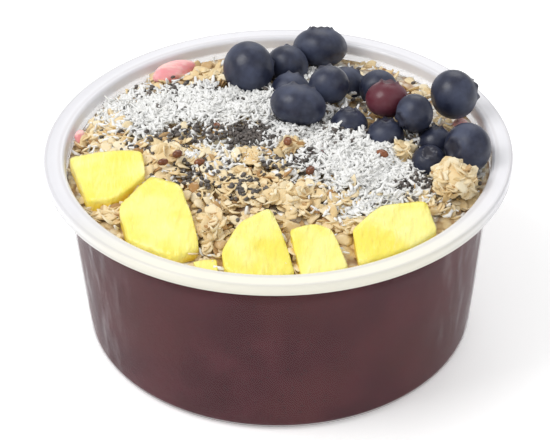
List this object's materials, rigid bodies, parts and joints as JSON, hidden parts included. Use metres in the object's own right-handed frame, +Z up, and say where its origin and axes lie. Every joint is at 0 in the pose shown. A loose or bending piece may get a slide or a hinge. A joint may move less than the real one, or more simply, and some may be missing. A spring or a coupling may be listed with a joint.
{
  "type": "acai bowl",
  "caption": "Round clear plastic tub filled with acai puree and heaped with granola, shredded coconut, chia, blueberries and pineapple chunks.",
  "frame": {"origin": "middle of the tub's flat base, on the surface that it stands on", "axes": "+Z up through the tub's mouth; -Y is the side with the pineapple, +Y the side with the blueberries"},
  "size_m": [0.15, 0.15, 0.0809],
  "materials": {
    "clear_plastic": "clear, slightly milky, glossy",
    "acai": "thick frozen puree, finely speckled, dull",
    "granola": "baked oats, rough",
    "blueberry": "dark blue skin with a pale waxy bloom",
    "blueberry_red": "red-purple skin, little bloom",
    "pineapple": "wet yellow flesh with faint fibres",
    "strawberry": "wet pink-red flesh",
    "coconut": "dry white shreds",
    "chia": "grey-brown mottled seeds",
    "flax": "smooth brown seeds"
  },
  "bodies": {
    "root": {"bowl": "clear_plastic", "acai": "acai", "granola_bed": "granola", "strawberry": "strawberry", "blueberry_01": "blueberry", "blueberry_02": "blueberry", "blueberry_03": "blueberry", "blueberry_04": "blueberry", "blueberry_05": "blueberry", "blueberry_06": "blueberry", "blueberry_07": "blueberry", "blueberry_08": "blueberry", "blueberry_09": "blueberry_red", "blueberry_10": "blueberry", "blueberry_11": "blueberry", "blueberry_12": "blueberry", "blueberry_13": "blueberry", "blueberry_14": "blueberry", "blueberry_15": "blueberry", "blueberry_16": "blueberry", "blueberry_17": "blueberry", "pineapple_1": "pineapple", "granola_cluster_1": "granola", "pineapple_2": "pineapple", "granola_cluster_2": "granola", "pineapple_3": "pineapple", "granola_cluster_3": "granola", "pineapple_4": "pineapple", "granola_cluster_4": "granola", "pineapple_5": "pineapple", "granola_cluster_5": "granola", "pineapple_6": "pineapple", "granola_cluster_6": "granola"}
  },
  "joints": []
}
